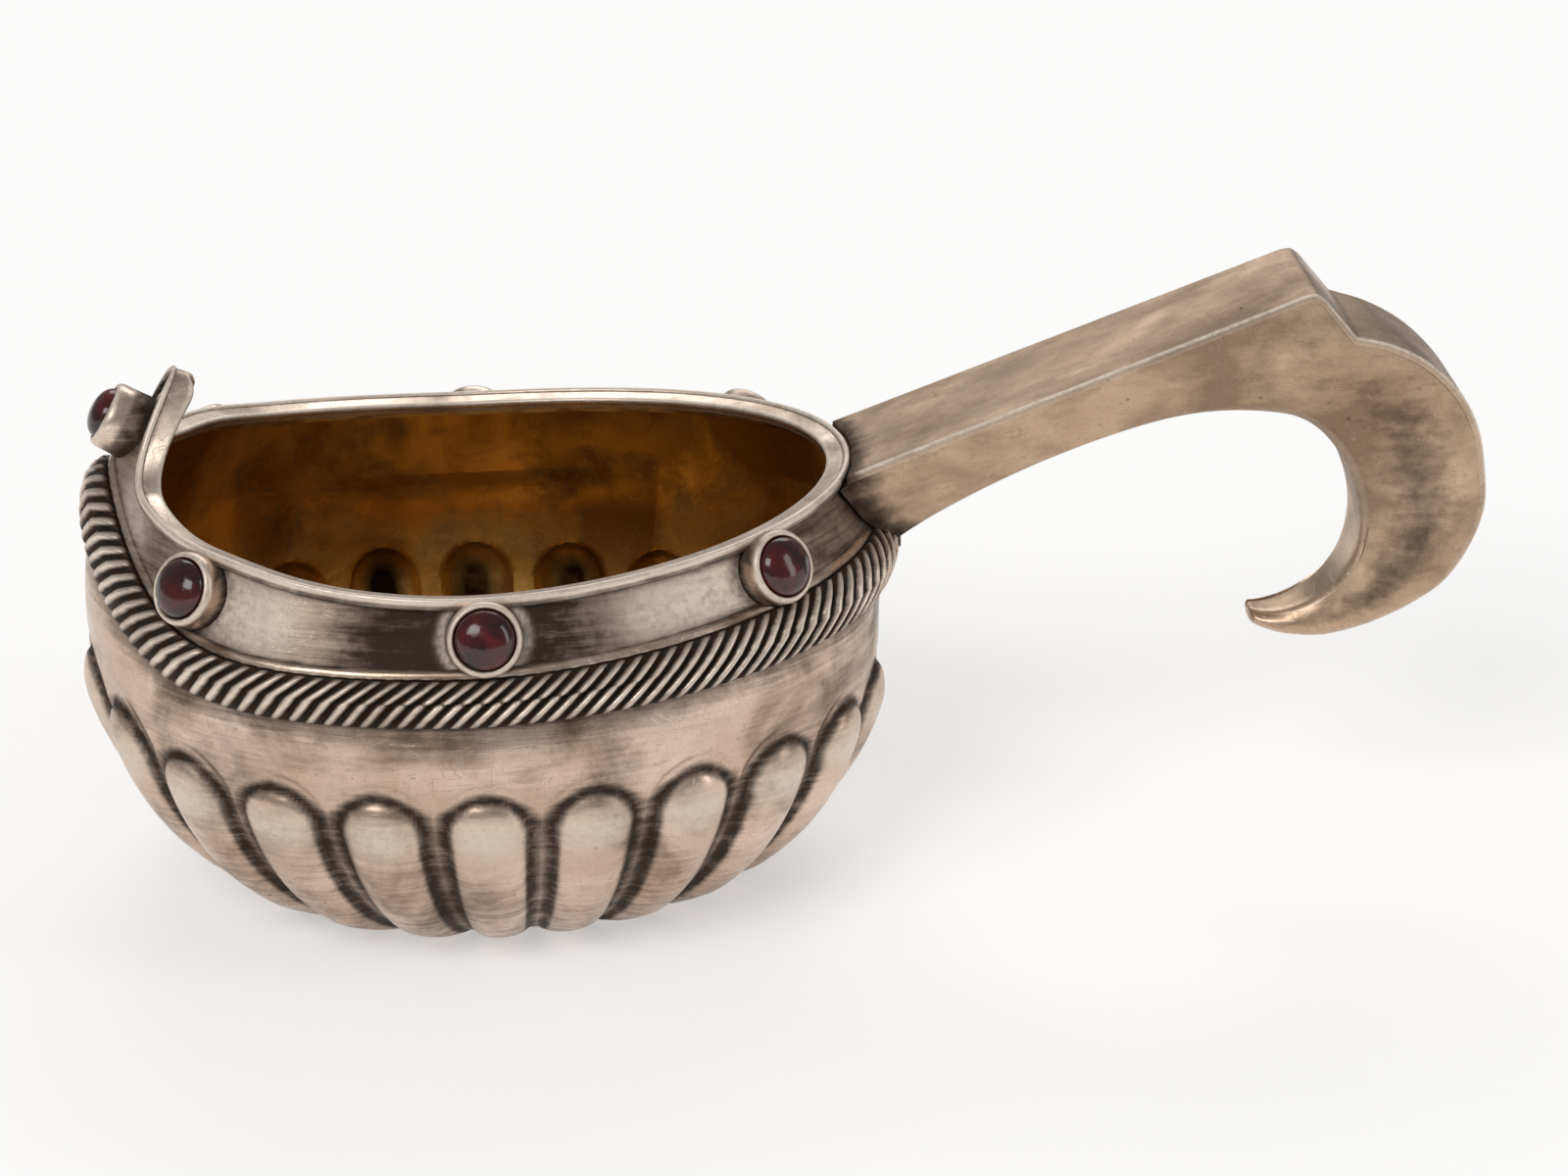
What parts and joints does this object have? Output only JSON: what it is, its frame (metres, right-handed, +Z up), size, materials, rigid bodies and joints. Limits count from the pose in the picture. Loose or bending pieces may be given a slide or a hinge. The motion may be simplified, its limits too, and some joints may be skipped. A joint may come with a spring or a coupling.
{
  "type": "kovsh",
  "caption": "Small silver kovsh: a boat-shaped dipping cup with a lobed bowl, a corded band, garnets in collets round a leaning neck, a raised prow and one hooked handle.",
  "frame": {"origin": "middle of the flat base that the cup stands on", "axes": "+Z up, +X towards the handle, so the prow points to -X and the cup's near side to -Y"},
  "size_m": [0.1891, 0.0902, 0.0822],
  "materials": {
    "silver": "worn polish with dark patina in the hollows",
    "dark_silver": "bright reeds on dark patina",
    "garnet": "polished dark red"
  },
  "bodies": {
    "root": {"bowl": "silver", "neck_band": "silver", "rim_strip": "silver", "corded_band": "dark_silver", "handle_trough": "silver", "handle_cover": "silver", "collet_prow": "silver", "collet_near_fore": "silver", "collet_near_mid": "silver", "collet_near_aft": "silver", "collet_far_fore": "silver", "collet_far_mid": "silver", "collet_far_aft": "silver", "garnet_prow": "garnet", "garnet_near_fore": "garnet", "garnet_near_mid": "garnet", "garnet_near_aft": "garnet", "garnet_far_fore": "garnet", "garnet_far_mid": "garnet", "garnet_far_aft": "garnet"}
  },
  "joints": []
}
